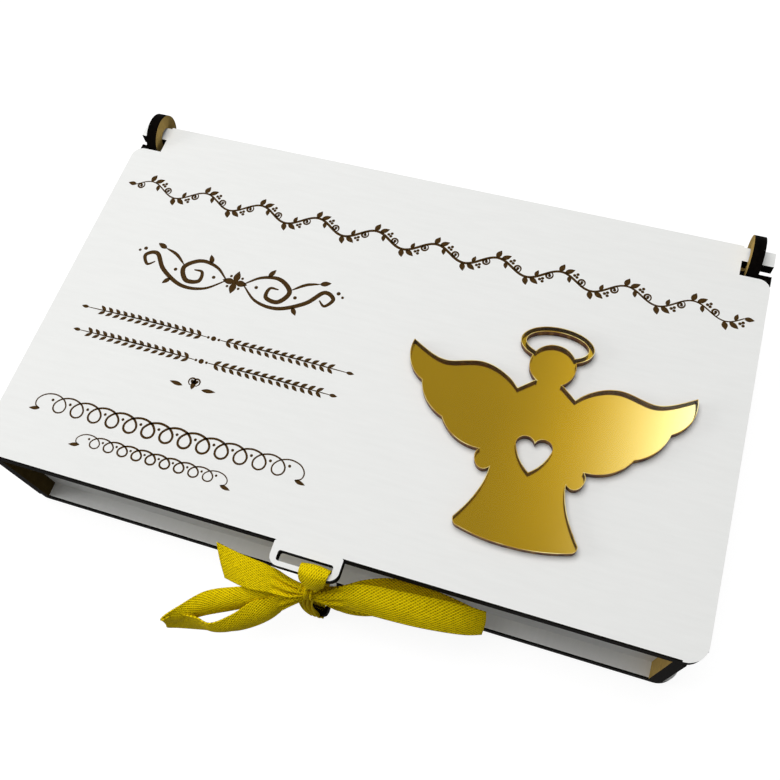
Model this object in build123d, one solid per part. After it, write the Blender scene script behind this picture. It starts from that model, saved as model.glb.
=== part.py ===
from build123d import *
import os

# Money gift box: a shallow lidded box of laser-cut board, closed by a ribbon bow.
# Units are millimetres. The origin is the centre of the bottom plate's underside,
# +Z is up, the bow is at the front (-Y) and the hinge at the back (+Y).

# Plates
board = 3.0
width = 180.0
depth = 108.0
corner_radius = 5.0

# Walls, which stand inside the plate's edge
wall_height = 28.0
side_inset = 3.5
front_ledge = 4.2
back_ledge = 5.6
lug_overhang = 0.5
joint_clearance = 0.05

# Tenons that plug the walls into the bottom plate
tenon_length = 20.0
tenon_spacing = 90.0
side_tenon_spacing = 50.0

# Hinge: the lid's flat pins turn in round holes in the side walls' ears
lid_gap = 0.1
pin_width = 4.2
pin_setback = 0.5
pin_play = 0.06
ear_radius = 6.2
ear_play = 0.3
notch_side_play = 1.5
notch_corner_radius = 3.0

# Ribbon slots: a wide tab on the lid and a narrow tongue under it
tab_width = 17.0
tab_reach = 5.5
tab_radius = 2.4
slot_width = 13.6
slot_depth = 2.5
slot_bar = 1.2
slot_radius = 0.6
tongue_width = 5.0
tongue_reach = 8.7
tongue_radius = 1.2
tongue_slot_width = 3.4
tongue_slot_depth = 2.2
tongue_bar = 1.3
ribbon_relief = 0.6

# Angel plaque of mirror acrylic on pads of double-sided tape
plaque_thickness = 2.0
tape_thickness = 0.2
tape_length = 12.0
tape_width = 7.0
tape_wing_x = 18.0
tape_wing_y = 8.0
tape_skirt_y = -15.5
plaque_from_right = 46.6
plaque_from_front = 38.0
plaque_turn = 1.7
wing_span = 69.8
head_radius = 5.7
head_height = 22.1
halo_height = 27.9
halo_half_width = 9.1
halo_half_height = 4.9
halo_band = 1.35

# Ribbon
ribbon_thickness = 0.5
ribbon_clearance = 0.3

# Levels and lines that follow from the sizes above
wall_top = board + wall_height
lid_bottom = wall_top + lid_gap
lid_top = lid_bottom + board
half_height = board + wall_height / 2
side_outer = width / 2 - side_inset
side_inner = side_outer - board
front_face = -depth / 2 + front_ledge
back_face = depth / 2 - back_ledge
lug_end = width / 2 + lug_overhang
pin_y = depth / 2 - pin_setback - pin_width / 2
pin_z = lid_bottom + board / 2
pin_corner = ((pin_width / 2) ** 2 + (board / 2) ** 2) ** 0.5
notch_front = pin_y - ear_radius - ear_play
notch_side = side_inner - notch_side_play
plaque_x = width / 2 - plaque_from_right
plaque_y = plaque_from_front - depth / 2


def block(x0, x1, y0, y1, z0, z1):
    """A box between two opposite corners."""
    return Pos((x0 + x1) / 2, (y0 + y1) / 2, (z0 + z1) / 2) * Box(x1 - x0, y1 - y0, z1 - z0)


def plane_rect(x0, x1, y0, y1):
    """A flat rectangle between two opposite corners."""
    return Pos((x0 + x1) / 2, (y0 + y1) / 2) * Rectangle(x1 - x0, y1 - y0)


def corners_at(sketch, half, y):
    """The two corners of a sketch at x = -half and x = half on the line y."""
    return [v for v in sketch.vertices()
            if abs(abs(v.X) - half) < 0.01 and abs(v.Y - y) < 0.01]


def slotted_tab(half, reach, radius, slot_half, slot_run, bar):
    """A tab on the plate's front edge with rounded corners, and the slot that goes through it."""
    front = -depth / 2 - reach
    tab = plane_rect(-half, half, front, -depth / 2 + corner_radius)
    tab = fillet(corners_at(tab, half, front), radius)
    slot = Pos(0, front + bar + slot_run / 2) * RectangleRounded(2 * slot_half, slot_run, slot_radius)
    return tab, slot


def tenon_places():
    """Each tenon's wall, as the box it fills in the bottom plate."""
    half = tenon_length / 2
    places = {"front": [], "back": [], "left": [], "right": []}
    for x in (-tenon_spacing / 2, tenon_spacing / 2):
        places["front"].append((x - half, x + half, front_face, front_face + board))
        places["back"].append((x - half, x + half, back_face - board, back_face))
    for y in (-side_tenon_spacing / 2, side_tenon_spacing / 2):
        places["left"].append((-side_outer, -side_inner, y - half, y + half))
        places["right"].append((side_inner, side_outer, y - half, y + half))
    return places


def make_bottom_plate():
    tab, slot = slotted_tab(tongue_width / 2, tongue_reach, tongue_radius,
                            tongue_slot_width / 2, tongue_slot_depth, tongue_bar)
    outline = RectangleRounded(width, depth, corner_radius) + tab - slot
    plate = extrude(outline, board)
    for boxes in tenon_places().values():
        for x0, x1, y0, y1 in boxes:
            c = joint_clearance
            plate -= block(x0 - c, x1 + c, y0 - c, y1 + c, -1, board + 1)
    # The ribbon passes under the tongue's bar without lifting the box.
    bar_front = -depth / 2 - tongue_reach
    return plate - block(-tongue_width / 2 - 1, tongue_width / 2 + 1, bar_front - 1,
                         bar_front + tongue_bar + 0.01, -1, ribbon_relief)


def make_long_wall(outer_y, tenons, outward):
    """Front or back wall: its upper half runs out through the side walls as lugs."""
    y0, y1 = sorted((outer_y, outer_y - outward * board))
    reach = side_inner - joint_clearance
    wall = block(-reach, reach, y0, y1, board, half_height)
    wall += block(-lug_end, lug_end, y0, y1, half_height, wall_top)
    for x0, x1, t0, t1 in tenons:
        wall += block(x0, x1, t0, t1, 0, board)
    return wall


def make_side_wall(side, tenons):
    """Side wall with a slot for each long wall and the hinge ear at its back."""
    x0, x1 = sorted((side * side_inner, side * side_outer))
    x_mid = (x0 + x1) / 2
    wall = block(x0, x1, -depth / 2, depth / 2, board, wall_top)
    ear = Pos(x_mid, pin_y, pin_z) * Rot(0, 90, 0) * Cylinder(ear_radius, board)
    wall += ear
    wall -= Pos(x_mid, pin_y, pin_z) * Rot(0, 90, 0) * Cylinder(pin_corner + pin_play, board + 2)
    c = joint_clearance
    for y0, y1 in ((front_face, front_face + board), (back_face - board, back_face)):
        wall -= block(x0 - 1, x1 + 1, y0 - c, y1 + c, half_height - c, wall_top + 1)
    for t0, t1, y0, y1 in tenons:
        wall += block(t0, t1, y0, y1, 0, board)
    return wall


def make_lid_panel():
    """Lid plate with the ribbon tab in front and a flat hinge pin at each back corner."""
    tab, slot = slotted_tab(tab_width / 2, tab_reach, tab_radius,
                            slot_width / 2, slot_depth, slot_bar)
    outline = RectangleRounded(width, depth, corner_radius) + tab - slot
    for side in (-1, 1):
        x0, x1 = sorted((side * notch_side, side * (width / 2 + 1)))
        outline -= plane_rect(x0, x1, notch_front, depth / 2 + 1)
    outline = fillet(corners_at(outline, width / 2, notch_front), notch_corner_radius)
    for side in (-1, 1):
        x0, x1 = sorted((side * (notch_side - 1), side * width / 2))
        outline += plane_rect(x0, x1, pin_y - pin_width / 2, pin_y + pin_width / 2)
    return Pos(0, 0, lid_bottom) * extrude(outline, board)


def drawn(x, y):
    """A point of the figure, drawn for wings 69.8 across."""
    return (x * wing_span / 69.8, y * wing_span / 69.8)


def angel_half():
    """Right half of the figure, from the collar down to the hem, about the line x = 0."""
    collar = (0.0, head_height - head_radius + 0.5)
    neck = drawn(3.3, 17.3)
    shoulder = drawn(7.05, 14.2)
    wing_tip = drawn(34.9, 21.4)
    feather_one = drawn(30.2, 10.8)
    feather_two = drawn(23.0, 2.4)
    armpit = drawn(12.4, -3.4)
    cuff = drawn(9.0, -7.3)
    hem_corner = drawn(14.35, -21.0)
    hem_low = drawn(13.2, -22.9)
    hem_middle = drawn(0.0, -24.7)
    return make_face([
        Line(collar, neck),
        Line(neck, shoulder),
        Spline(shoulder, drawn(11.7, 17.8), drawn(17.2, 19.2), drawn(22.3, 18.1),
               drawn(25.6, 17.5), drawn(30.0, 18.7), wing_tip),
        ThreePointArc(wing_tip, drawn(34.5, 15.6), feather_one),
        ThreePointArc(feather_one, drawn(27.9, 6.0), feather_two),
        ThreePointArc(feather_two, drawn(18.7, -1.9), armpit),
        Spline(armpit, drawn(13.0, -5.8), drawn(11.4, -8.0), cuff),
        Spline(cuff, drawn(9.7, -11.7), drawn(11.6, -16.4), hem_corner),
        ThreePointArc(hem_corner, drawn(14.1, -22.2), hem_low),
        ThreePointArc(hem_low, drawn(6.7, -24.3), hem_middle),
        Line(hem_middle, collar),
    ])


def heart_half():
    """Right half of the heart-shaped hole."""
    top = drawn(0.0, 0.9)
    side = drawn(4.4, 0.1)
    tip = drawn(0.0, -6.5)
    return make_face([
        ThreePointArc(top, drawn(2.3, 2.4), side),
        ThreePointArc(side, drawn(3.1, -3.0), tip),
        Line(tip, top),
    ])


def both_halves(half):
    return half + mirror(half, about=Plane.YZ)


def halo_ring():
    outer = Ellipse(halo_half_width, halo_half_height)
    inner = Ellipse(halo_half_width - halo_band, halo_half_height - halo_band)
    return Pos(0, halo_height) * (outer - inner)


def on_lid(shape, height):
    """Place a shape, drawn about the plaque's own middle, on the lid at a height."""
    return Pos(plaque_x, plaque_y, height) * Rot(0, 0, plaque_turn) * shape


def make_angel_plaque():
    figure = both_halves(angel_half()) + halo_ring() + Pos(0, head_height) * Circle(head_radius)
    figure -= both_halves(heart_half())
    return on_lid(extrude(figure, plaque_thickness), lid_top + tape_thickness)


def make_tape_pads():
    """Three alike pads: one under each wing and one under the skirt."""
    places = [(-tape_wing_x, tape_wing_y), (tape_wing_x, tape_wing_y), (0, tape_skirt_y)]
    pads = [Pos(x, y) * Rectangle(tape_length, tape_width) for x, y in places]
    return on_lid(extrude(Sketch() + pads, tape_thickness), lid_top)


def triangle(p, q, r):
    return Face(Wire.make_polygon([p, q, r], close=True))


def ribbon_strip(edges):
    """A thin strip through pairs of points, one on each edge of the ribbon."""
    middles = [(a + b) * 0.5 for a, b in edges]
    rings = []
    for i, (a, b) in enumerate(edges):
        ahead = middles[min(i + 1, len(edges) - 1)]
        behind = middles[max(i - 1, 0)]
        normal = (ahead - behind).cross(b - a).normalized() * (ribbon_thickness / 2)
        rings.append([a - normal, b - normal, b + normal, a + normal])
    faces = [Face(Wire.make_polygon(ring, close=True)) for ring in (rings[0], rings[-1])]
    for near, far in zip(rings, rings[1:]):
        for j in range(4):
            k = (j + 1) % 4
            faces += [triangle(near[j], near[k], far[k]), triangle(near[j], far[k], far[j])]
    return Solid(Shell(faces))


# The bow's strips as pairs of edge points: back or upper edge first, front or lower edge second.
# Each point is (x, distance ahead of the plate's front edge, distance below the lid).
left_loop = [
    ((1.5, 7.6, 6.1), (1.0, 8.6, 10.1)),
    ((-4.5, 8.9, 5.9), (-4.2, 9.6, 12.1)),
    ((-9.7, 9.9, 5.9), (-9.5, 11.4, 13.5)),
    ((-16.6, 11.6, 6.1), (-16.8, 14.6, 14.6)),
    ((-23.5, 14.9, 7.1), (-23.6, 18.0, 15.6)),
    ((-28.6, 19.0, 8.5), (-28.9, 20.4, 17.5)),
    ((-31.6, 22.2, 9.9), (-33.0, 22.8, 18.9)),
    ((-31.4, 23.8, 10.5), (-33.2, 24.3, 19.7)),
    ((-28.0, 23.9, 11.1), (-29.6, 24.2, 20.4)),
    ((-23.2, 22.0, 11.5), (-24.8, 22.8, 20.7)),
    ((-19.2, 19.2, 10.9), (-20.4, 21.4, 19.9)),
    ((-15.5, 16.4, 9.7), (-15.4, 19.8, 18.1)),
    ((-11.8, 14.0, 8.8), (-11.2, 17.6, 16.6)),
    ((-8.2, 12.1, 8.3), (-7.8, 15.0, 15.5)),
    ((-4.4, 10.6, 7.9), (-4.4, 12.4, 13.9)),
    ((1.0, 8.8, 7.5), (0.8, 9.6, 12.1)),
]
right_loop = [
    ((1.5, 7.0, 5.9), (1.5, 8.4, 9.7)),
    ((4.6, 6.3, 5.1), (4.6, 8.4, 9.3)),
    ((7.8, 4.8, 4.3), (8.8, 8.2, 9.9)),
    ((11.6, 3.2, 3.9), (13.0, 8.0, 10.1)),
    ((16.0, 2.2, 3.7), (17.1, 7.8, 10.1)),
    ((20.6, 1.8, 3.7), (21.9, 7.6, 10.2)),
    ((26.2, 1.2, 4.1), (27.6, 7.2, 10.5)),
    ((31.8, 0.6, 4.5), (33.4, 6.5, 10.8)),
    ((37.4, 0.2, 5.1), (38.7, 5.5, 11.5)),
    ((41.4, 0.0, 6.5), (41.9, 4.2, 13.1)),
    ((42.0, -0.2, 7.7), (42.0, 3.8, 14.5)),
    ((39.4, -0.4, 8.7), (39.6, 4.0, 15.9)),
    ((33.4, -0.8, 9.3), (34.2, 4.4, 16.9)),
    ((25.4, -1.0, 9.3), (26.4, 4.8, 17.3)),
    ((18.6, -0.4, 8.7), (20.1, 5.2, 16.7)),
    ((12.8, 1.3, 8.3), (13.4, 6.6, 15.7)),
    ((7.8, 3.9, 8.1), (8.6, 7.4, 14.1)),
    ((4.4, 5.8, 8.1), (4.4, 7.9, 12.3)),
    ((1.5, 7.0, 8.3), (1.5, 8.6, 11.5)),
]
left_tail = [
    ((1.2, 7.4, 4.1), (1.0, 8.8, 5.7)),
    ((-3.3, 6.6, 2.3), (-2.8, 10.1, 4.7)),
    ((-8.8, 5.1, 1.9), (-7.4, 10.6, 4.3)),
    ((-16.0, 4.4, 2.3), (-13.4, 11.0, 5.7)),
    ((-23.7, 3.2, 3.3), (-20.2, 9.8, 8.5)),
]
# The knot's middle as such a point, and its oval rings as (x, half depth, half height).
knot_middle = (1.1, 8.0, 7.7)
knot_rings = [
    (-3.5, 1.2, 2.6),
    (-2.5, 2.0, 3.6),
    (0.1, 2.3, 4.1),
    (2.5, 2.0, 3.6),
    (3.5, 1.2, 2.6),
]


def at_bow(x, ahead, below):
    """A point of the bow, in the box's frame."""
    return Vector(x, -depth / 2 - ahead, lid_bottom - below)


def bow_strip(edges):
    return ribbon_strip([(at_bow(*a), at_bow(*b)) for a, b in edges])


def wrap_strip(rows):
    """A strip whose rows lie along X: (left end, right end, distance ahead, height)."""
    return ribbon_strip([(Vector(x0, -depth / 2 - ahead, z), Vector(x1, -depth / 2 - ahead, z))
                         for x0, x1, ahead, z in rows])


def make_lid_wrap():
    """Up through the lid tab's slot, over the bar in front of it and down to the knot."""
    in_slot = tab_reach - slot_bar - slot_depth / 2
    rise = ribbon_clearance + ribbon_thickness / 2
    past_bar = tab_reach + rise
    return wrap_strip([
        (-0.4, 6.6, in_slot, lid_bottom - 1.7),
        (-0.6, 6.8, in_slot, lid_bottom + board / 2),
        (-0.6, 6.8, in_slot + 0.2, lid_top + 0.2),
        (-0.4, 6.6, in_slot + 1.15, lid_top + rise + 0.35),
        (-0.2, 6.5, tab_reach + 0.1, lid_top + rise + 0.25),
        (0.2, 6.3, past_bar + 0.45, lid_top - 0.3),
        (0.8, 5.9, past_bar + 1.05, lid_bottom - 0.1),
        (0.6, 4.8, past_bar + 1.45, lid_bottom - 2.7),
        (0.2, 3.6, past_bar + 1.75, lid_bottom - 5.5),
    ])


def make_base_loop():
    """Down from the lid's slot, through the tongue's slot, under its bar and up again."""
    in_slot = tab_reach - slot_bar - slot_depth / 2
    behind_bar = tongue_reach - tongue_bar - 0.6
    under_bar = ribbon_relief / 2
    half = tongue_slot_width / 2 - 0.5
    return wrap_strip([
        (-1.3, 5.3, in_slot + 0.15, lid_bottom - 3.5),
        (-1.3, 4.3, in_slot + 1.35, lid_bottom - 11.1),
        (-half, 2.0, in_slot + 2.75, board + 7.0),
        (-half, half, behind_bar - 0.3, board + 0.4),
        (-half, half, behind_bar, under_bar + 0.4),
        (-half, half, behind_bar + 0.5, under_bar),
        (-half, half, tongue_reach + 0.2, under_bar),
        (-half, half, tongue_reach + 0.5, under_bar + 0.4),
        (-1.4, half, tongue_reach + 0.7, board + 0.4),
        (-2.2, 0.8, tongue_reach + 0.6, board + 6.0),
        (-2.0, 1.2, tongue_reach + 0.2, lid_bottom - 13.7),
    ])


def make_knot():
    """The knot: oval rings along the bow, squeezed at both ends."""
    middle = at_bow(*knot_middle)
    rings = []
    for x, half_deep, half_high in knot_rings:
        across = Plane(middle + Vector(x, 0, 0), x_dir=(0, 1, 0), z_dir=(1, 0, 0))
        rings.append(across * Ellipse(half_deep, half_high))
    return loft(rings)


def make_ribbon_bow():
    bow = make_knot() + make_lid_wrap()
    for strip in (left_loop, right_loop, left_tail):
        bow += bow_strip(strip)
    return bow


tenons = tenon_places()
parts = {
    "bottom_plate": make_bottom_plate(),
    "front_wall": make_long_wall(front_face, tenons["front"], -1),
    "back_wall": make_long_wall(back_face, tenons["back"], 1),
    "left_side_wall": make_side_wall(-1, tenons["left"]),
    "right_side_wall": make_side_wall(1, tenons["right"]),
    "lid_panel": make_lid_panel(),
    "tape_pads": make_tape_pads(),
    "angel_plaque": make_angel_plaque(),
    "ribbon_bow": make_ribbon_bow(),
    "ribbon_base_loop": make_base_loop(),
}

os.makedirs("parts", exist_ok=True)
for name, shape in parts.items():
    export_step(shape, f"parts/{name}.step")
    print(name, "volume", round(shape.volume, 1), "solids", len(shape.solids()))
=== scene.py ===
import math

import bpy
import numpy as np
from mathutils import Matrix, Vector


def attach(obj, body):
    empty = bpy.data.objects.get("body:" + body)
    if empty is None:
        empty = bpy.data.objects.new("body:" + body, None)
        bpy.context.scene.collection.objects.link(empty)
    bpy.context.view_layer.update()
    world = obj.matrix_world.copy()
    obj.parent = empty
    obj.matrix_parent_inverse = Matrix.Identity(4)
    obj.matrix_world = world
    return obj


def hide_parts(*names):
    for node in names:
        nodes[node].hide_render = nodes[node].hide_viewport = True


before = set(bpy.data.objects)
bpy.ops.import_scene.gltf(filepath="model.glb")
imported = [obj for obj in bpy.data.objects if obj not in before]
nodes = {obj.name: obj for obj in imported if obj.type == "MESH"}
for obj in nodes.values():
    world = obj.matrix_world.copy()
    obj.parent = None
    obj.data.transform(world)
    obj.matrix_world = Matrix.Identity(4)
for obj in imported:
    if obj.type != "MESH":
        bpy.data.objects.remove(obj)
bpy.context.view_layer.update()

MM = 0.001
X, Y, Z = 0, 1, 2

# Places repeated from the part's source, in millimetres
LID_BOTTOM = 31.1
LID_TOP = 34.1
PLATE_FRONT = -54.0
PLATE_TOP = 3.0
PLAQUE_BOTTOM = 34.3
PLAQUE_TOP = 36.3

# Places and sizes that the finishes use, in metres
TONGUE_ROOT = -0.0545
SCORCH_FADE = 0.0012
# Painted shade on the left side wall's raw face: full in front of the first place, fading out over the
# second length behind it
PAINTED_SHADE_CORNER = -0.0465
PAINTED_SHADE_FADE = 0.004
# Where the painted sheen on the plaque's mirror coat starts and where it is full, along X
PAINTED_SHEEN_START, PAINTED_SHEEN_END = 0.046, 0.078
RIBBON_WIDTH = 0.010

# Colours, linear
LAMINATE = (0.85, 0.855, 0.84)
RAW_BOARD = (0.60, 0.41, 0.125)
RAW_CLOUD = (0.33, 0.20, 0.06)
CHAR = (0.0016, 0.0014, 0.0012)
CHAR_ASH = (0.005, 0.0038, 0.0028)
SOOT = (0.008, 0.006, 0.004)
BURN = (0.055, 0.028, 0.007)
GOLD = (0.78, 0.485, 0.008)
# Pale gold of the painted sheen on the plaque's mirror coat
GOLD_PAINTED_SHEEN = (0.90, 0.82, 0.36)
CLEAR_WARM = (1.0, 0.985, 0.93)
CLEAR = (1.0, 0.99, 0.95)
EDGE_BY_FILM = (0.028, 0.008, 0.002)
EDGE_AMBER = (0.20, 0.055, 0.003)
EDGE_MARK = (0.30, 0.15, 0.02)
RIM_DIM = (0.55, 0.33, 0.03)
RIM_BRIGHT = (1.0, 0.86, 0.36)
TAPE_DIM = (0.60, 0.58, 0.50)
TAPE_BRIGHT = (0.70, 0.68, 0.60)
RIBBON = (1.0, 0.76, 0.004)
RIBBON_DEEP = (0.24, 0.145, 0.001)

# Stretch of the noise that makes the laminate's grain
ALONG_X = (110.0, 900.0, 900.0)
ALONG_Y = (1500.0, 60.0, 900.0)
PLATE_STREAKS = (1150.0, 20.0, 900.0)

# Light on the object from all round, where white is 1
AMBIENT = 0.15


# ---------------------------------------------------------------- materials

class Shader:
    """A node material with a Principled surface, and short ways to add nodes to it."""

    def __init__(self, name):
        self.material = bpy.data.materials.new(name)
        self.material.use_nodes = True
        self.tree = self.material.node_tree
        self.tree.nodes.clear()
        self.output = self.node("ShaderNodeOutputMaterial")
        self.surface = self.node("ShaderNodeBsdfPrincipled")
        self.link(self.surface.outputs["BSDF"], self.output.inputs["Surface"])

    def node(self, kind, **settings):
        made = self.tree.nodes.new(kind)
        for key, value in settings.items():
            setattr(made, key, value)
        return made

    def link(self, source, target):
        self.tree.links.new(source, target)

    def feed(self, socket, value):
        if isinstance(value, bpy.types.NodeSocket):
            self.link(value, socket)
        elif isinstance(value, tuple) and len(value) == 3 and len(socket.default_value) == 4:
            socket.default_value = (*value, 1.0)
        else:
            socket.default_value = value

    def math(self, operation, *values, clamp=False):
        made = self.node("ShaderNodeMath", operation=operation, use_clamp=clamp)
        for socket, value in zip(made.inputs, values):
            self.feed(socket, value)
        return made.outputs[0]

    def mix(self, factor, first, second, kind="RGBA"):
        made = self.node("ShaderNodeMix", data_type=kind)
        self.feed(made.inputs["Factor"], factor)
        self.feed(made.inputs["A"], first)
        self.feed(made.inputs["B"], second)
        return made.outputs["Result"]

    def place(self, output="Object"):
        return self.node("ShaderNodeTexCoord").outputs[output]

    def parts_of(self, vector):
        made = self.node("ShaderNodeSeparateXYZ")
        self.link(vector, made.inputs[0])
        return made.outputs

    def noise(self, vector, scale, detail=2.0, roughness=0.5, stretch=(1.0, 1.0, 1.0)):
        mapping = self.node("ShaderNodeMapping")
        self.link(vector, mapping.inputs["Vector"])
        mapping.inputs["Scale"].default_value = stretch
        made = self.node("ShaderNodeTexNoise")
        self.link(mapping.outputs[0], made.inputs["Vector"])
        made.inputs["Scale"].default_value = scale
        made.inputs["Detail"].default_value = detail
        made.inputs["Roughness"].default_value = roughness
        return made.outputs["Fac"]

    def spread(self, value, low, high, to_low=0.0, to_high=1.0):
        made = self.node("ShaderNodeMapRange")
        for socket, v in zip(made.inputs, (value, low, high, to_low, to_high)):
            self.feed(socket, v)
        return made.outputs[0]

    def bump(self, height, distance, strength=1.0):
        made = self.node("ShaderNodeBump")
        made.inputs["Strength"].default_value = strength
        made.inputs["Distance"].default_value = distance
        self.link(height, made.inputs["Height"])
        self.link(made.outputs["Normal"], self.surface.inputs["Normal"])

    def coat(self, colour, roughness, metallic=0.0, specular=0.5):
        self.feed(self.surface.inputs["Base Color"], colour)
        self.feed(self.surface.inputs["Roughness"], roughness)
        self.surface.inputs["Metallic"].default_value = metallic
        self.surface.inputs["Specular IOR Level"].default_value = specular


def shade(colour, factor):
    return tuple(c * factor for c in colour)


def board_material(name, axis, sign, streaks, scorched_ahead=None, painted_shade_ahead=None):
    """Board with white laminate on the face that looks along the axis, raw board on the
    opposite face and laser char on every cut edge. streaks is the grain's stretch, what lies
    ahead of scorched_ahead is burnt black all over, and the last argument says where painted
    shade starts to darken the raw face, standing for the shade under the lid's overhang."""
    s = Shader(name)
    place = s.place()
    ahead = s.parts_of(place)[Y]
    facing = s.math("MULTIPLY", s.parts_of(s.place("Normal"))[axis], float(sign))
    face_on = 0.9
    white = s.math("GREATER_THAN", facing, face_on)
    brown = s.math("LESS_THAN", facing, -face_on)
    if scorched_ahead is not None:
        clean = s.spread(ahead, scorched_ahead - SCORCH_FADE, scorched_ahead)
        white = s.math("MULTIPLY", white, clean)
        brown = s.math("MULTIPLY", brown, clean)

    grain = s.noise(place, 1.0, detail=3.0, roughness=0.55, stretch=streaks)
    cells = s.noise(place, 700.0, detail=2.0, roughness=0.6)
    laminate = s.mix(s.spread(grain, 0.3, 0.7), shade(LAMINATE, 0.975), LAMINATE)

    fibres = s.noise(place, 520.0, detail=6.0, roughness=0.75)
    clouds = s.noise(place, 60.0, detail=3.0, roughness=0.5)
    raw = s.mix(s.spread(fibres, 0.3, 0.7), shade(RAW_BOARD, 0.62), RAW_BOARD)
    raw = s.mix(s.spread(clouds, 0.35, 0.75, to_high=0.4), raw, RAW_CLOUD)
    # Painted shade: the raw face goes dark towards the front, standing for the shade under the lid's
    # overhang
    if painted_shade_ahead is not None:
        soot_and_painted_shade = s.spread(ahead, painted_shade_ahead, painted_shade_ahead + PAINTED_SHADE_FADE, to_low=0.86, to_high=0.0)
        raw = s.mix(soot_and_painted_shade, raw, CHAR)

    scorch = s.noise(place, 1.0, detail=4.0, roughness=0.7, stretch=(900.0, 900.0, 140.0))
    char = s.mix(s.spread(scorch, 0.35, 0.75), CHAR, CHAR_ASH)

    colour = s.mix(white, s.mix(brown, char, raw), laminate)
    cut_roughness = 0.82
    laminate_roughness = s.spread(cells, 0.3, 0.7, to_low=0.42, to_high=0.52)
    s.coat(colour, s.mix(white, cut_roughness, laminate_roughness, "FLOAT"), specular=0.02)
    relief = s.math("ADD", grain, s.math("MULTIPLY", cells, 0.25))
    relief = s.mix(white, s.math("MULTIPLY", fibres, 2.0), relief, "FLOAT")
    s.bump(relief, distance=0.00006, strength=0.5)
    return s.material


def mirror_film_material():
    """The gold mirror coat under the clear acrylic, with a painted sheen that makes it paler towards one
    wing tip.
    """
    s = Shader("gold_mirror_film")
    place = s.place()
    haze = s.noise(place, 40.0)
    gold = s.mix(s.spread(haze, 0.35, 0.65), shade(GOLD, 0.94), GOLD)
    # Painted sheen: a reflection painted in as paler gold towards the wing tip
    painted_sheen = s.spread(s.parts_of(place)[X], PAINTED_SHEEN_START, PAINTED_SHEEN_END)
    painted_sheen = s.math("MULTIPLY", painted_sheen, painted_sheen)
    s.coat(s.mix(painted_sheen, gold, GOLD_PAINTED_SHEEN), roughness=0.10, metallic=1.0)
    return s.material


def clear_acrylic_material():
    """The clear acrylic over the mirror coat. Its index is below the real 1.49, so that its own
    surface mirrors less."""
    s = Shader("clear_acrylic")
    tint = s.noise(s.place(), 30.0, detail=1.0)
    s.coat(s.mix(tint, CLEAR_WARM, CLEAR), roughness=0.02)
    s.surface.inputs["IOR"].default_value = 1.36
    s.surface.inputs["Transmission Weight"].default_value = 1.0
    return s.material


def cut_edge_material():
    """The acrylic's cut edge: deep amber, darkest by the mirror coat, with fine cut marks."""
    s = Shader("acrylic_cut_edge")
    place = s.place()
    height = s.spread(s.parts_of(place)[Z], PLAQUE_BOTTOM * MM, PLAQUE_TOP * MM)
    marks = s.noise(place, 1.0, stretch=(500.0, 500.0, 60.0))
    edge = s.mix(height, EDGE_BY_FILM, EDGE_AMBER)
    s.coat(s.mix(s.spread(marks, 0.45, 0.75), edge, EDGE_MARK), roughness=0.35, specular=0.1)
    return s.material


def rim_material():
    """The fine bright line that the light draws along the acrylic's upper edge."""
    s = Shader("acrylic_rim")
    glints = s.noise(s.place(), 140.0)
    s.coat(s.mix(s.spread(glints, 0.42, 0.60), RIM_DIM, RIM_BRIGHT), roughness=0.3, metallic=0.6)
    return s.material


def tape_material():
    """Milky double-sided tape with a faint ripple."""
    s = Shader("double_sided_tape")
    ripple = s.noise(s.place(), 900.0)
    s.coat(s.mix(ripple, TAPE_DIM, TAPE_BRIGHT), roughness=0.5)
    s.bump(ripple, distance=0.00003, strength=0.4)
    return s.material


def engraving_material():
    """The brown that a laser burns into white laminate."""
    s = Shader("laser_engraving")
    grain = s.noise(s.place(), 2200.0, detail=3.0, roughness=0.6)
    s.coat(s.mix(s.spread(grain, 0.3, 0.7), shade(BURN, 0.6), shade(BURN, 1.35)),
           roughness=0.85, specular=0.2)
    s.bump(grain, distance=0.00003, strength=0.5)
    return s.material


def scorched_rim_material():
    """The char that the laser leaves on the laminate beside a cut."""
    s = Shader("scorched_rim")
    soot_and_painted_shade = s.noise(s.place(), 900.0, detail=3.0, roughness=0.6)
    s.coat(s.mix(soot_and_painted_shade, CHAR, SOOT), roughness=0.9, specular=0.0)
    return s.material


def ribbon_material():
    """Woven satin: diagonal twill in two directions, with darker gaps between the threads.
    The weave layer's places are in millimetres along and across the ribbon."""
    s = Shader("gold_satin_ribbon")
    along, across, _ = s.parts_of(s.node("ShaderNodeUVMap", uv_map="weave").outputs[0])
    turn = 2 * math.pi
    twill_pitch, twill_lean, thread_pitch = 0.84, 0.8, 0.30
    twills = []
    for slant in (1.0, -1.0):
        run = s.math("ADD", s.math("MULTIPLY", along, turn / twill_pitch * twill_lean),
                     s.math("MULTIPLY", across, slant * turn / twill_pitch))
        twills.append(s.math("SINE", run))
    diamonds = s.math("ADD", twills[0], s.math("MULTIPLY", twills[1], 0.5))
    threads = s.math("SINE", s.math("MULTIPLY", across, turn / thread_pitch))
    slubs = s.noise(s.place(), 1400.0, detail=2.0, roughness=0.6)
    weave = s.math("ADD", s.math("ADD", diamonds, s.math("MULTIPLY", threads, 0.3)),
                   s.math("MULTIPLY", s.math("SUBTRACT", slubs, 0.5), 2.6))
    patches = s.noise(s.place(), 160.0)
    lit = s.mix(s.spread(patches, 0.3, 0.7), shade(RIBBON, 0.92), RIBBON)
    s.coat(s.mix(s.spread(weave, -2.0, 0.25), RIBBON_DEEP, lit),
           roughness=0.48, metallic=0.10, specular=0.0)
    s.bump(s.spread(weave, -2.2, 2.2), distance=0.00030, strength=0.9)
    return s.material


# ---------------------------------------------------------------- meshes

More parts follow.
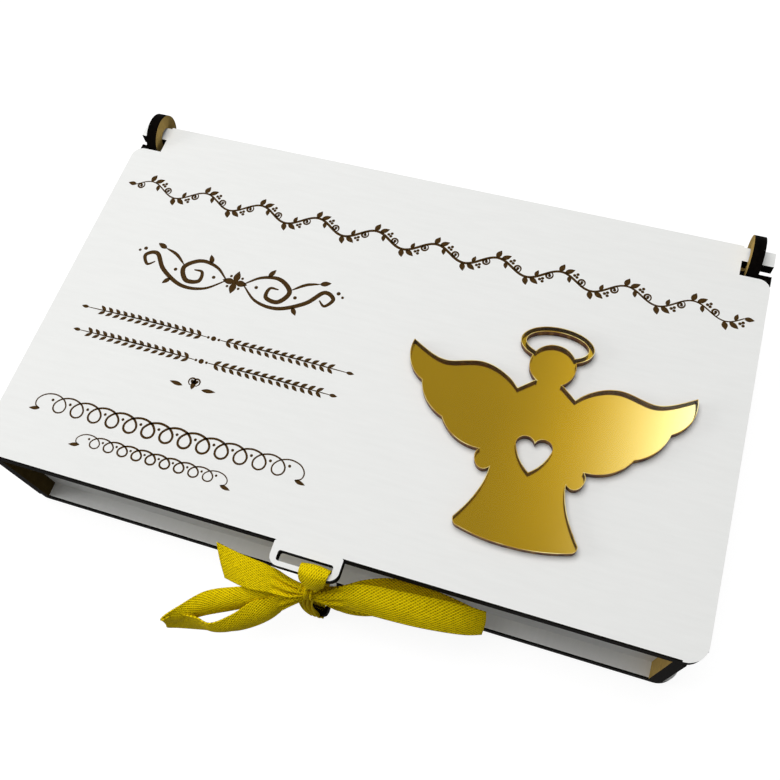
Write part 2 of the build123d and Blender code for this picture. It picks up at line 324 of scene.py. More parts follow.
def make_mesh(name, points, faces, material, uvs=None, smooth=False):
    """A mesh object from points in millimetres."""
    mesh = bpy.data.meshes.new(name)
    mesh.from_pydata([[c * MM for c in p] for p in points], [], faces)
    mesh.materials.append(material)
    if uvs is not None:
        layer = mesh.uv_layers.new(name="weave")
        for loop in mesh.loops:
            layer.data[loop.index].uv = uvs[loop.vertex_index]
    if smooth:
        mesh.shade_smooth()
    mesh.update()
    made = bpy.data.objects.new(name, mesh)
    bpy.context.scene.collection.objects.link(made)
    return made


def through(points, steps):
    """Points of a smooth curve through the given points, with so many steps between two."""
    p = np.asarray(points, float)
    # Each end point has a mirrored neighbour, and every span is a Catmull-Rom cubic
    padded = np.vstack([2 * p[0] - p[1], p, 2 * p[-1] - p[-2]])
    out = []
    for i in range(len(p) - 1):
        a, b, c, d = padded[i:i + 4]
        for k in range(steps):
            t = k / steps
            out.append(0.5 * (2 * b + (c - a) * t + (2 * a - 5 * b + 4 * c - d) * t * t
                              + (3 * b - a - 3 * c + d) * t ** 3))
    out.append(p[-1])
    return np.array(out)


# ---------------------------------------------------------------- ribbon

# The bow's strips as pairs of edge points: back or upper edge first, front or lower edge second.
# Each point is (x, distance ahead of the plate's front edge, distance below the lid).
LEFT_LOOP = [
    ((0.9, 7.3, 4.9), (0.6, 8.0, 7.6)),
    ((-4.6, 8.2, 5.9), (-4.0, 9.7, 9.9)),
    ((-9.9, 9.5, 6.8), (-9.1, 12.2, 11.5)),
    ((-16.9, 11.4, 7.4), (-16.3, 15.9, 12.1)),
    ((-23.8, 14.4, 8.4), (-23.1, 19.1, 13.1)),
    ((-29.0, 19.6, 9.4), (-28.2, 21.7, 15.3)),
    ((-31.7, 22.6, 10.3), (-32.1, 22.8, 17.6)),
    ((-31.8, 23.5, 10.6), (-33.1, 23.9, 19.3)),
    ((-29.4, 21.2, 11.2), (-30.6, 23.1, 20.3)),
    ((-24.6, 20.4, 11.3), (-24.8, 21.7, 20.7)),
    ((-20.6, 20.7, 11.7), (-20.4, 20.9, 19.9)),
    ((-15.8, 17.3, 10.4), (-15.4, 19.6, 18.1)),
    ((-11.8, 13.2, 8.8), (-11.2, 17.5, 16.6)),
    ((-8.2, 11.5, 8.3), (-7.8, 14.9, 15.5)),
    ((-4.4, 9.6, 7.3), (-4.4, 11.6, 12.9)),
    ((0.7, 7.6, 6.2), (0.5, 8.3, 8.8)),
]
RIGHT_LOOP = [
    ((0.5, 7.0, 4.6), (0.5, 8.0, 7.6)),
    ((4.6, 6.3, 5.1), (4.6, 8.4, 9.3)),
    ((7.8, 4.8, 4.3), (8.8, 8.2, 9.9)),
    ((11.6, 3.2, 3.9), (13.0, 8.0, 10.1)),
    ((16.0, 2.2, 3.7), (17.1, 7.8, 10.1)),
    ((20.6, 1.8, 3.7), (21.9, 7.6, 10.2)),
    ((26.2, 1.2, 4.1), (27.6, 7.2, 10.5)),
    ((31.8, 0.6, 4.5), (33.4, 6.5, 10.8)),
    ((37.4, 0.2, 5.1), (38.7, 5.5, 11.5)),
    ((41.4, 0.0, 6.5), (41.9, 4.2, 13.1)),
    ((42.0, -0.2, 7.7), (42.0, 3.8, 14.5)),
    ((39.4, -0.4, 8.7), (39.6, 4.0, 15.9)),
    ((33.4, -1.2, 8.3), (34.2, 4.4, 16.9)),
    ((25.4, -1.7, 7.2), (26.4, 4.8, 17.3)),
    ((18.6, -1.0, 6.6), (20.1, 5.4, 16.9)),
    ((12.8, 1.0, 7.2), (13.4, 7.6, 16.4)),
    ((7.8, 3.9, 7.6), (8.6, 8.4, 14.6)),
    ((4.0, 5.8, 7.0), (4.2, 8.0, 11.2)),
    ((0.6, 7.0, 6.2), (0.6, 8.2, 8.8)),
]
LEFT_TAIL = [
    ((0.9, 7.2, 3.9), (0.7, 8.3, 5.4)),
    ((-3.3, 6.6, 2.3), (-2.8, 10.1, 4.7)),
    ((-8.8, 5.1, 1.9), (-7.4, 10.6, 4.3)),
    ((-16.0, 4.4, 2.3), (-13.4, 11.0, 5.7)),
    ((-23.7, 3.2, 3.3), (-20.2, 9.8, 8.5)),
]
# Strips whose rows lie along X: (left end, right end, distance ahead, height)
LID_WRAP = [
    (-0.2, 6.2, 3.05, 29.4),
    (-0.5, 6.6, 3.05, 32.6),
    (-0.5, 6.6, 3.35, 34.35),
    (-0.5, 6.5, 4.2, 34.95),
    (-0.5, 6.3, 5.4, 34.6),
    (-0.4, 5.9, 6.3, 32.9),
    (-0.2, 5.2, 6.7, 30.5),
    (0.0, 4.0, 6.5, 28.4),
    (-0.2, 2.6, 6.2, 26.2),
]
BASE_LOOP = [
    (-1.3, 5.3, 3.2, 27.6),
    (-1.3, 4.3, 4.4, 20.0),
    (-1.5, 2.4, 5.6, 10.0),
    (-1.6, 1.6, 6.3, 3.4),
    (-1.6, 1.6, 6.6, 0.7),
    (-1.6, 1.6, 7.3, 0.3),
    (-1.6, 1.6, 8.7, 0.4),
    (-1.6, 1.6, 9.0, 0.9),
    (-1.7, 1.5, 9.2, 3.6),
    (-2.3, 0.9, 9.2, 9.0),
    (-2.3, 1.1, 8.8, 15.6),
    (-1.3, 1.9, 7.9, 21.6),
]
KNOT_MIDDLE = (0.6, 7.4, 5.8)

# How wide the gathered cloth is along each strip: (place from 0 to 1, millimetres)
LOOP_GATHERS = [(0.0, 8.6), (0.10, 8.0), (0.24, 0.0), (0.78, 0.0), (0.91, 8.0), (1.0, 8.6)]
TAIL_GATHERS = [(0.0, 8.6), (0.3, 7.6), (0.65, 0.0)]
WRAP_GATHERS = [(0.0, 0.0), (0.6, 0.0), (0.75, 7.0)]
KNOT_GATHERS = [(0.0, 4.6)]
BASE_GATHERS = [(0.0, 8.4), (0.44, 8.4), (0.50, 0.0), (0.61, 0.0), (0.67, 8.4), (1.0, 8.4)]
# How far each strip's middle bulges: (place from 0 to 1, millimetres)
LEFT_CROWN = [(0.0, 0.3), (0.12, 0.9), (0.25, 1.3), (0.40, 1.0), (0.50, 0.2), (0.56, -0.2),
              (0.70, -1.3), (0.85, -1.2), (1.0, -0.2)]
RIGHT_CROWN = [(0.0, -0.2), (0.12, -1.1), (0.40, -1.0), (0.47, -0.4), (0.60, -0.2), (1.0, 0.0)]
TAIL_CROWN = [(0.0, 0.3), (0.5, 0.5), (1.0, 0.25)]
WRAP_CROWN = [(0.0, 0.1), (0.35, 0.5), (0.7, 1.1), (0.88, 1.0), (1.0, 0.4)]
FLAT = [(0.0, 0.0)]


def bow_pairs(edges):
    return [[(x, PLATE_FRONT - ahead, LID_BOTTOM - below) for x, ahead, below in pair]
            for pair in edges]


def wrap_pairs(rows):
    return [[(left, PLATE_FRONT - ahead, z), (right, PLATE_FRONT - ahead, z)]
            for left, right, ahead, z in rows]


def slab_faces(n, m):
    """Faces of a closed slab whose top and then bottom points come as n rows of m."""
    faces = []
    lower = n * m
    for i in range(n - 1):
        for j in range(m - 1):
            a, b, c, d = i * m + j, i * m + j + 1, (i + 1) * m + j + 1, (i + 1) * m + j
            faces.append((a, d, c, b))
            faces.append((lower + a, lower + b, lower + c, lower + d))
    for i in range(n - 1):
        a, d = i * m, (i + 1) * m
        faces.append((a, lower + a, lower + d, d))
        a, d = i * m + m - 1, (i + 1) * m + m - 1
        faces.append((a, d, lower + d, lower + a))
    for j in range(m - 1):
        a, b = j, j + 1
        faces.append((a, b, lower + b, lower + a))
        a, b = (n - 1) * m + j, (n - 1) * m + j + 1
        faces.append((a, lower + a, lower + b, b))
    return faces


def ribbon_strip(pairs, gathers, crown=FLAT, steps=8, rows=32, waves=2.5):
    """A woven strip through pairs of edge points, in millimetres. Where the strip is narrower
    than its gathers say, that much cloth goes into waves across it, and crown says how far
    its middle bulges. Returns points, faces, weave places and length."""
    thick, selvedge, selvedge_share = 0.26, 0.40, 0.035
    first = through([a for a, b in pairs], steps)
    second = through([b for a, b in pairs], steps)
    middle = (first + second) / 2
    over = second - first
    normal = np.cross(np.gradient(middle, axis=0), over)
    normal /= np.linalg.norm(normal, axis=1)[:, None]
    run = np.concatenate([[0], np.cumsum(np.linalg.norm(np.diff(middle, axis=0), axis=1))])
    place = run / run[-1]
    across = np.linspace(0, 1, rows + 1)

    bulge = np.interp(place, *zip(*crown))
    cloth = np.interp(place, *zip(*gathers))
    narrow = np.linalg.norm(over, axis=1)
    spare = (cloth / narrow) ** 2 - 1 - (math.pi * bulge / narrow) ** 2 / 2
    deep = narrow / (2 * math.pi * waves) * np.sqrt(2 * np.maximum(spare, 0.0))
    phase = 1.3 * waves
    depth = deep[:, None] * np.cos(2 * math.pi * waves * across + phase)[None, :]
    depth += bulge[:, None] * np.sin(math.pi * across)[None, :]
    surface = (first[:, None, :] + over[:, None, :] * across[None, :, None]
               + normal[:, None, :] * depth[:, :, None])

    facing = np.cross(np.gradient(surface, axis=0), np.gradient(surface, axis=1))
    facing /= np.linalg.norm(facing, axis=2)[:, :, None]
    edge = np.exp(-(np.minimum(across, 1 - across) / selvedge_share) ** 2)
    half = (thick + (selvedge - thick) * edge)[None, :, None] / 2
    top, low = surface + facing * half, surface - facing * half
    points = np.vstack([top.reshape(-1, 3), low.reshape(-1, 3)])
    uv = np.stack(np.meshgrid(run, across * RIBBON_WIDTH / MM, indexing="ij"), axis=2)
    uvs = np.vstack([uv.reshape(-1, 2)] * 2)
    return points, slab_faces(len(place), rows + 1), uvs, run[-1]


def knot_band():
    """The short stretch that goes round the middle of the bow, pulled tight."""
    start, sweep, steps, tighter = -100, 400, 14, 0.06
    ahead_radius, up_radius = 1.7, 2.5
    half_width, flare, slant = 1.45, 0.3, 0.3
    x, ahead, below = KNOT_MIDDLE
    centre = np.array([x, PLATE_FRONT - ahead, LID_BOTTOM - below])
    pairs = []
    for k in range(steps + 1):
        angle = math.radians(start + sweep * k / steps)
        shrink = 1.0 - tighter * k / steps
        half = half_width + flare * math.cos(angle)
        ring = np.array([0.0, -ahead_radius * math.cos(angle), up_radius * math.sin(angle)]) * shrink
        lean = slant * math.sin(angle)
        pairs.append([tuple(centre + ring + np.array([side * half + lean, 0, 0])) for side in (-1, 1)])
    return pairs


def join_strips(name, strips, material):
    """Several strips as one piece."""
    points, faces, uvs, start = [], [], [], 0
    for p, f, uv, _ in strips:
        points.append(p)
        uvs.append(uv)
        faces += [tuple(i + start for i in face) for face in f]
        start += len(p)
    return make_mesh(name, np.vstack(points).tolist(), faces, material,
                     np.vstack(uvs).tolist(), smooth=True)


def make_ribbons():
    """The bow with its knot, tail and wrap, which moves with the lid, and the stretch through
    the tongue, which stays on the base."""
    satin = ribbon_material()
    bow = [
        ribbon_strip(bow_pairs(LEFT_LOOP), LOOP_GATHERS, LEFT_CROWN),
        ribbon_strip(bow_pairs(RIGHT_LOOP), LOOP_GATHERS, RIGHT_CROWN),
        ribbon_strip(bow_pairs(LEFT_TAIL), TAIL_GATHERS, TAIL_CROWN, steps=14),
        ribbon_strip(wrap_pairs(LID_WRAP), WRAP_GATHERS, WRAP_CROWN, waves=2.0),
        ribbon_strip(knot_band(), KNOT_GATHERS, waves=2.0),
    ]
    base = ribbon_strip(wrap_pairs(BASE_LOOP), BASE_GATHERS, rows=40, waves=3.0)
    loop = join_strips("ribbon_bow_woven", bow, satin)
    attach(loop, "lid")
    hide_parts("ribbon_bow")
    low = join_strips("ribbon_base_stretch", [base], satin)
    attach(low, "base")
    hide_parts("ribbon_base_loop")


# ---------------------------------------------------------------- engraved ornament

class Engraving:
    """Flat burnt strokes on the lid, gathered into one piece. Places are (x, y) in millimetres."""
    RELIEF = 0.02
    LOW, HIGH = LID_TOP - RELIEF, LID_TOP + RELIEF

    def __init__(self, name):
        self.name, self.points, self.faces = name, [], []

    def prism(self, outline):
        """A thin solid over a closed outline."""
        n = len(outline)
        start = len(self.points)
        self.points += [(x, y, self.HIGH) for x, y in outline]
        self.points += [(x, y, self.LOW) for x, y in outline]
        self.faces.append(tuple(start + i for i in range(n)))
        self.faces.append(tuple(start + n + i for i in reversed(range(n))))
        for i in range(n):
            j = (i + 1) % n
            self.faces.append((start + i, start + n + i, start + n + j, start + j))

    def stroke(self, points, width, ends=0.25, steps=8):
        """A stroke along a smooth line: full width in its middle, ends times that at its ends."""
        line = through(points, steps)
        ahead = np.gradient(line, axis=0)
        ahead /= np.linalg.norm(ahead, axis=1)[:, None] + 1e-12
        side = np.stack([-ahead[:, 1], ahead[:, 0]], axis=1)
        t = np.linspace(0, 1, len(line))
        half = width / 2 * (ends + (1 - ends) * np.sin(math.pi * t) ** 0.8)
        left, right = line + side * half[:, None], line - side * half[:, None]
        start, n = len(self.points), len(line)
        for z in (self.HIGH, self.LOW):
            for row in (left, right):
                self.points += [(x, y, z) for x, y in row]
        tl, tr, bl, br = start, start + n, start + 2 * n, start + 3 * n
        for i in range(n - 1):
            self.faces.append((tl + i, tr + i, tr + i + 1, tl + i + 1))
            self.faces.append((bl + i, bl + i + 1, br + i + 1, br + i))
            self.faces.append((tl + i, tl + i + 1, bl + i + 1, bl + i))
            self.faces.append((tr + i, br + i, br + i + 1, tr + i + 1))
        self.faces.append((tl, bl, br, tr))
        self.faces.append((tl + n - 1, tr + n - 1, br + n - 1, bl + n - 1))

    def dot(self, x, y, radius):
        self.prism([(x + radius * math.cos(a), y + radius * math.sin(a))
                    for a in np.linspace(0, 2 * math.pi, 20, endpoint=False)])

    def leaf(self, x, y, angle, length, width):
        """A pointed leaf from its stem end."""
        c, s = math.cos(angle), math.sin(angle)
        shape = []
        for side, places in ((1, np.linspace(0, 1, 9)), (-1, np.linspace(1, 0, 9)[1:-1])):
            for t in places:
                half = width / 2 * math.sin(math.pi * t) ** 0.85 * (1.25 - 0.5 * t)
                shape.append((length * t, side * half))
        self.prism([(x + c * u - s * v, y + s * u + c * v) for u, v in shape])

    def spiral(self, x, y, angle, size, turn, width, rounds=1.35):
        """A tendril that leaves the point at an angle and curls up; turn is 1 or -1."""
        points, px, py, heading = [], x, y, angle
        steps = 22
        for k in range(steps + 1):
            points.append((px, py))
            t = k / steps
            radius = size * (1 - 0.86 * t)
            step = 2 * math.pi * rounds / steps
            heading += turn * step
            px += radius * step * math.cos(heading)
            py += radius * step * math.sin(heading)
        self.stroke(points, width, 0.35, 3)
        self.dot(points[-1][0], points[-1][1], width * 0.75)

    def make(self, material):
        made = make_mesh(self.name, self.points, self.faces, material)
        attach(made, "lid")


def outward(side, angle):
    """The angle on the right side, and its mirror image on the left one."""
    return angle if side > 0 else math.pi - angle


def vine_border(material):
    """A vine scroll with leaves and berries, along the lid's back edge."""
    e = Engraving("engraved_vine_border")
    left, right, middle, swing, half_wave = -84.0, 85.0, 32.4, 1.9, 8.45
    count = round((right - left) / half_wave)
    steps = 6
    stem = []
    for k in range(count * steps + 1):
        x = left + (right - left) * k / (count * steps)
        stem.append((x, middle + swing * math.sin(math.pi * k / steps)))
    e.stroke(stem, 0.75, 0.4, 2)
    for k in range(count):
        x = left + half_wave * (k + 0.5)
        up = 1 if k % 2 == 0 else -1
        y = middle + up * swing
        e.spiral(x - 2.6, y - up * 0.75, up * -0.15, 1.15, -up, 0.55)
        e.leaf(x - 0.4, y, up * 1.25, 2.6, 1.5)
        e.leaf(x + 0.9, y - up * 0.1, up * 0.55, 2.9, 1.4)
        e.leaf(x + 2.2, y - up * 0.75, -up * 1.35, 2.1, 1.1)
        for dx, dy in ((3.5, 1.2), (4.3, 1.65), (4.2, 0.75)):
            e.dot(x + dx, y + up * (dy - 1.4), 0.42)
    for x, side in ((left, -1), (right, 1)):
        e.leaf(x, middle, outward(side, 0.0), 2.6, 1.3)
    e.make(material)


def big_flourish(material):
    """A pen flourish of two mirrored scrolls about a small cross-shaped bloom."""
    e = Engraving("engraved_flourish")
    cx, cy = -44.0, 9.0
    for side in (-1, 1):
        def at(u, v):
            return (cx + side * u, cy + v)
        e.stroke([at(2.6, 0.2), at(6.5, 3.2), at(11.5, 4.0), at(15.4, 1.0), at(13.4, -2.7),
                  at(9.8, -2.2), at(9.9, 0.7), at(12.3, 0.9)], 1.35, 0.25)
        e.stroke([at(2.6, -0.2), at(7.6, -4.0), at(14.0, -4.6), at(20.6, -1.2), at(24.4, 3.2),
                  at(27.4, 1.9), at(25.8, -0.7), at(23.9, 0.6)], 1.25, 0.25)
        e.stroke([at(15.6, 1.6), at(19.0, 4.2), at(22.6, 5.4)], 0.9, 0.2)
        e.leaf(*at(22.4, 5.3), outward(side, 0.35), 3.2, 1.5)
        e.leaf(*at(8.2, 3.9), outward(side, 1.1), 3.0, 1.4)
        e.leaf(*at(17.6, -3.2), outward(side, -0.9), 2.8, 1.3)
        for u, v, r in ((28.2, 3.9, 0.55), (29.6, 3.0, 0.4), (17.4, -0.3, 0.5), (6.2, 0.0, 0.5)):
            e.dot(*at(u, v), r)
    for k in range(4):
        e.leaf(cx, cy, math.pi / 2 * k, 3.6, 1.9)
        between = math.pi / 4 + math.pi / 2 * k
        e.dot(cx + 2.3 * math.cos(between), cy + 2.3 * math.sin(between), 0.38)
    e.make(material)


def wheat_rows(material):
    """Two long rows of wheat ears that meet in the middle, and a short sprig under them."""
    e = Engraving("engraved_wheat_rows")
    pitch, bare = 2.15, 4.5
    for cx, cy, half in ((-43.0, -8.4, 36.5), (-43.6, -15.4, 35.0)):
        for side in (-1, 1):
            e.stroke([(cx + side * 2.0, cy), (cx + side * half * 0.5, cy + 0.25),
                      (cx + side * half, cy)], 0.42, 0.5)
            for k in range(int((half - bare) / pitch)):
                x = cx + side * (3.6 + k * pitch)
                for up in (-1, 1):
                    e.leaf(x, cy + up * 0.12, outward(side, up * 0.62), pitch, 0.92)
            e.leaf(cx + side * half, cy, outward(side, 0.0), 2.2, 0.95)
        e.dot(cx, cy, 0.7)
        e.dot(cx - 1.5, cy, 0.38)
        e.dot(cx + 1.5, cy, 0.38)
    cx, cy = -43.0, -22.4
    for side in (-1, 1):
        e.spiral(cx + side * 0.6, cy, outward(side, 0.0), 1.15, side, 0.5)
        e.leaf(cx + side * 2.6, cy - 0.6, outward(side, 0.1), 3.8, 1.1)
    e.leaf(cx, cy - 1.1, math.pi / 2, 3.0, 1.3)
    e.make(material)


def running_scrolls(material):
    """Two rows of running pen loops, the lower one shorter."""
    e = Engraving("engraved_running_scrolls")
    steps = 8
    for x0, x1, y, loop, rise, width in ((-79.0, -9.0, -36.6, 5.0, 2.3, 0.62),
                                         (-64.5, -26.0, -43.6, 3.85, 1.55, 0.5)):
        count = round((x1 - x0) / loop)
        loop = (x1 - x0) / count
        line = []
        for k in range(count * steps + 1):
            a = 2 * math.pi * k / steps
            swing = 0.62 * loop * math.sin(a) * 0.9
            line.append((x0 + loop * k / steps - swing, y - rise * math.cos(a)))
        e.stroke(line, width, 0.5, 4)
        for k in range(count):
            e.dot(x0 + loop * (k + 0.5), y + rise * 0.30, width * 0.62)
        for x, side in ((x0, -1), (x1, 1)):
            e.leaf(x - side * 0.2, y - rise, outward(side, -0.2), 3.0, 1.0)
    e.make(material)


# ---------------------------------------------------------------- plaque and scorched rims

def outline_loops(node, height):
    """The closed outlines of a flat node's upper face, as lists of (x, y) in millimetres."""
    mesh = nodes[node].data
    places, ids, same = [], [], {}
    for v in mesh.vertices:
        k = tuple(round(c * 1e6) for c in v.co)
        if k not in same:
            same[k] = len(places)
            places.append((v.co.x / MM, v.co.y / MM))
        ids.append(same[k])
    sides = {}
    for face in mesh.polygons:
        if all(abs(mesh.vertices[i].co.z / MM - height) < 0.005 for i in face.vertices):
            ring = [ids[i] for i in face.vertices]
            sides.update(dict.fromkeys(zip(ring, ring[1:] + ring[:1])))
    after = {a: b for a, b in sides if (b, a) not in sides}
    loops = []
    while after:
        loop, here = [], next(iter(after))
        while here in after:
            loop.append(places[here])
            here = after.pop(here)
        loops.append(np.array(loop))
    return loops


def inset(loop, distance):
    """A loop moved inwards (to its left) by a distance, with its sharp corners kept short."""
    before, after = np.roll(loop, 1, axis=0), np.roll(loop, -1, axis=0)
    one = loop - before
    two = after - loop
    one /= np.linalg.norm(one, axis=1)[:, None]
    two /= np.linalg.norm(two, axis=1)[:, None]
    left_one = np.stack([-one[:, 1], one[:, 0]], axis=1)
    left_two = np.stack([-two[:, 1], two[:, 0]], axis=1)
    across = left_one + left_two
    across /= np.linalg.norm(across, axis=1)[:, None]
    sharpest = 0.45
    stretch = 1 / np.maximum((across * left_one).sum(axis=1), sharpest)
    return loop + across * (distance * stretch)[:, None]


def ring_wall(name, loops, outer, inner, low, high, material):
    """A closed band along each loop, between two insets and two heights."""
    points, faces = [], []
    for loop in loops:
        a, b = inset(loop, outer), inset(loop, inner)
        n, start = len(loop), len(points)
        for row, z in ((a, high), (b, high), (b, low), (a, low)):
            points += [(x, y, z) for x, y in row]
        for i in range(n):
            j = (i + 1) % n
            for k in range(4):
                m = (k + 1) % 4
                faces.append((start + k * n + i, start + k * n + j,
                              start + m * n + j, start + m * n + i))
    return make_mesh(name, points, faces, material)


def filled_slab(name, loops, edge, low, high, material):
    """A thin slab inside the outer loop and outside its holes."""
    curve = bpy.data.curves.new(name, "CURVE")
    curve.dimensions = "2D"
    curve.fill_mode = "BOTH"
    curve.extrude = (high - low) / 2 * MM
    for loop in loops:
        row = inset(loop, edge)
        spline = curve.splines.new("POLY")
        spline.points.add(len(row) - 1)
        for point, (x, y) in zip(spline.points, row):
            point.co = (x * MM, y * MM, 0, 1)
        spline.use_cyclic_u = True
    holder = bpy.data.objects.new(name + "_outline", curve)
    mesh = bpy.data.meshes.new_from_object(holder)
    bpy.data.objects.remove(holder)
    bpy.data.curves.remove(curve)
    mesh.name = name
    mesh.transform(Matrix.Translation((0, 0, (low + high) / 2 * MM)))
    mesh.materials.clear()
    mesh.materials.append(material)
    made = bpy.data.objects.new(name, mesh)
    bpy.context.scene.collection.objects.link(made)
    return made


def plaque_layers():
    """What shows in and on the clear acrylic: mirror coat, cut edge and bright rim."""
    loops = outline_loops("angel_plaque", PLAQUE_TOP)
    film = filled_slab("plaque_mirror_film", loops, edge=0.05, low=PLAQUE_BOTTOM + 0.02,
                       high=PLAQUE_BOTTOM + 0.10, material=mirror_film_material())
    edge = ring_wall("plaque_cut_edge", loops, outer=-0.012, inner=0.06, low=PLAQUE_BOTTOM + 0.01,
                     high=PLAQUE_TOP - 0.05, material=cut_edge_material())
    rim = ring_wall("plaque_rim", loops, outer=-0.015, inner=0.13, low=PLAQUE_TOP - 0.05,
                    high=PLAQUE_TOP + 0.012, material=rim_material())
    for piece in (film, edge, rim):
        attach(piece, "lid")


def scorched_rims():
    """The black line that the laser leaves on the laminate, along the straight stretches of
    the front cut edges."""
    burnt_rim = scorched_rim_material()
    clear_of_tab, tolerance, shortest = 60, 0.02, 5
    proud, sunk = 0.012, 0.03
    for node, top, body, wide in (("lid_panel", LID_TOP, "lid", 0.34),
                                  ("bottom_plate", PLATE_TOP, "base", 0.36)):
        outer = max(outline_loops(node, top), key=len)
        front = outer[np.abs(outer[:, X]) > clear_of_tab][:, Y].min()
        inner = inset(outer, wide)
        points, faces = [], []
        for i in range(len(outer)):
            j = (i + 1) % len(outer)
            one, two = outer[i], outer[j]
            off_front = max(abs(one[Y] - front), abs(two[Y] - front))
            if abs(two[X] - one[X]) <= shortest or off_front >= tolerance:
                continue
            start = len(points)
            for z in (top + proud, top - sunk):
                points += [(x, y, z) for x, y in (one, two, inner[j], inner[i])]
            faces.append(tuple(start + k for k in range(4)))
            faces.append(tuple(start + 7 - k for k in range(4)))
            for k in range(4):
                m = (k + 1) % 4
                faces.append((start + k, start + 4 + k, start + 4 + m, start + m))
        rim = make_mesh("scorched_front_rim_" + node, points, faces, burnt_rim)
        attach(rim, body)


# ---------------------------------------------------------------- dressing the nodes

def dress(name, material):
    """Give a CAD node its finish."""
    node = nodes[name]
    if node.material_slots:
        for entry in node.material_slots:
            entry.material = material
    else:
        node.data.materials.append(material)


for name, axis, sign, streaks, scorched, painted_shade_start in (
    ("lid_panel", Z, 1, ALONG_X, None, None),
    ("bottom_plate", Z, 1, PLATE_STREAKS, TONGUE_ROOT, None),
    ("front_wall", Y, -1, ALONG_X, None, None),
    ("back_wall", Y, 1, ALONG_X, None, None),
    # The left side wall's raw face carries painted shade near its front
    ("left_side_wall", X, -1, ALONG_Y, None, PAINTED_SHADE_CORNER),
    ("right_side_wall", X, 1, ALONG_Y, None, None),
):
    dress(name, board_material("board_" + name, axis, sign, streaks, scorched, painted_shade_start))
dress("tape_pads", tape_material())
dress("angel_plaque", clear_acrylic_material())
plaque_layers()
scorched_rims()

make_ribbons()

burnt = engraving_material()
vine_border(burnt)
big_flourish(burnt)
wheat_rows(burnt)
running_scrolls(burnt)


# ---------------------------------------------------------------- stage

def white_stage():
    """A white floor that keeps the object's shadow and looks plain white elsewhere. Its glow
    shows to the camera, in mirrors and through the acrylic, and doesn't light the object."""
    glow, reach, drop = 0.90, 3000, 0.05
    s = Shader("white_floor")
    path = s.node("ShaderNodeLightPath")
    seen = s.math("ADD", s.math("ADD", path.outputs["Is Camera Ray"], path.outputs["Is Glossy Ray"]),
                  path.outputs["Is Transmission Ray"], clamp=True)
    s.coat((0.20, 0.20, 0.20), roughness=0.9, specular=0.0)
    s.surface.inputs["Emission Color"].default_value = (1, 1, 1, 1)
    s.feed(s.surface.inputs["Emission Strength"], s.math("MULTIPLY", seen, glow))
    corners = [(x * reach, y * reach, -drop) for x, y in ((-1, -1), (1, -1), (1, 1), (-1, 1))]
    make_mesh("floor", corners, [(0, 1, 2, 3)], s.material)


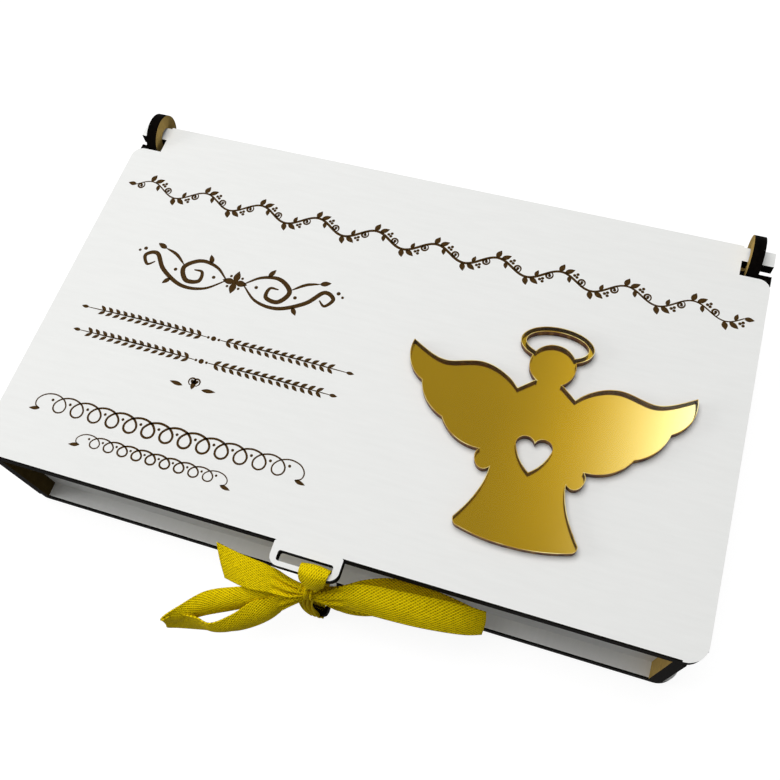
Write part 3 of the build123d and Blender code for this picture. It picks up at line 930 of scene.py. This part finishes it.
def white_world():
    """White to the camera; even, lower light on the object; for mirrors a dimmer ceiling
    with one broad soft bright patch behind and to the right."""
    world = bpy.data.worlds.new("studio")
    world.use_nodes = True
    bpy.context.scene.world = world
    tree = world.node_tree
    back = tree.nodes["Background"]
    back.inputs["Color"].default_value = (1, 1, 1, 1)

    def calc(operation, *values, clamp=False):
        made = tree.nodes.new("ShaderNodeMath")
        made.operation = operation
        made.use_clamp = clamp
        for socket, value in zip(made.inputs, values):
            if isinstance(value, bpy.types.NodeSocket):
                tree.links.new(value, socket)
            else:
                socket.default_value = value
        return made.outputs[0]

    path = tree.nodes.new("ShaderNodeLightPath")
    mirrored = calc("ADD", path.outputs["Is Glossy Ray"], path.outputs["Is Transmission Ray"], clamp=True)
    place = tree.nodes.new("ShaderNodeTexCoord").outputs["Generated"]
    dot = tree.nodes.new("ShaderNodeVectorMath")
    dot.operation = "DOT_PRODUCT"
    tree.links.new(place, dot.inputs[0])
    patch_middle, patch_rim, patch_ramp, patch_level = (0.33, 0.42, 0.845), 0.895, 0.085, 1.5
    dot.inputs[1].default_value = Vector(patch_middle).normalized()
    near = calc("MULTIPLY", calc("SUBTRACT", dot.outputs["Value"], patch_rim), 1 / patch_ramp, clamp=True)
    patch = calc("MULTIPLY", calc("POWER", near, 3.0), patch_level)
    split = tree.nodes.new("ShaderNodeSeparateXYZ")
    tree.links.new(place, split.inputs[0])
    ceiling_start, ceiling_ramp, ceiling_dimmer = 0.35, 2.2, 0.60
    ceiling = calc("MULTIPLY", calc("SUBTRACT", split.outputs[Z], ceiling_start), ceiling_ramp, clamp=True)
    dimmed = calc("SUBTRACT", 1.0, calc("MULTIPLY", ceiling, ceiling_dimmer))
    mirror_level = calc("ADD", dimmed, patch)
    plain = calc("ADD", calc("MULTIPLY", path.outputs["Is Camera Ray"], 1.0 - AMBIENT), AMBIENT)
    rest = calc("MULTIPLY", plain, calc("SUBTRACT", 1.0, mirrored))
    tree.links.new(calc("ADD", rest, calc("MULTIPLY", mirrored, mirror_level)), back.inputs["Strength"])


def soft_light(name, place, target, size, power):
    """A round lamp that mirrors don't show."""
    data = bpy.data.lights.new(name, "AREA")
    data.shape = "DISK"
    data.size = size
    data.energy = power
    lamp = bpy.data.objects.new(name, data)
    bpy.context.scene.collection.objects.link(lamp)
    lamp.location = place
    lamp.visible_glossy = False
    lamp.visible_transmission = False
    lamp.rotation_mode = "QUATERNION"
    lamp.rotation_quaternion = (Vector(target) - Vector(place)).to_track_quat("-Z", "Y")


white_stage()
white_world()
soft_light("key", place=(-0.15, 0.16, 0.95), target=(0, 0, 0), size=0.90, power=8.3)
soft_light("side", place=(-0.62, -0.20, 0.24), target=(0, -0.06, 0.02), size=0.35, power=1.3)

# The camera that was fitted to the photograph
CAMERA_RIGHT = Vector((0.95009, 0.30237, -0.07678))
CAMERA_UP = Vector((-0.24349, 0.87262, 0.42338))
CAMERA_BACK = Vector((0.19501, -0.38355, 0.90269))
CAMERA_PLACE = (0.04893, -0.09507, 0.23416)
camera_data = bpy.data.cameras.new("camera")
camera_data.sensor_width = 36.0
camera_data.lens = 41.22
camera_data.clip_start = 0.01
camera_data.clip_end = 20.0
camera = bpy.data.objects.new("camera", camera_data)
turned = Matrix((CAMERA_RIGHT, CAMERA_UP, CAMERA_BACK)).transposed().to_4x4()
camera.matrix_world = Matrix.Translation(CAMERA_PLACE) @ turned
bpy.context.scene.collection.objects.link(camera)
bpy.context.scene.camera = camera
bpy.context.scene.view_settings.view_transform = "Standard"
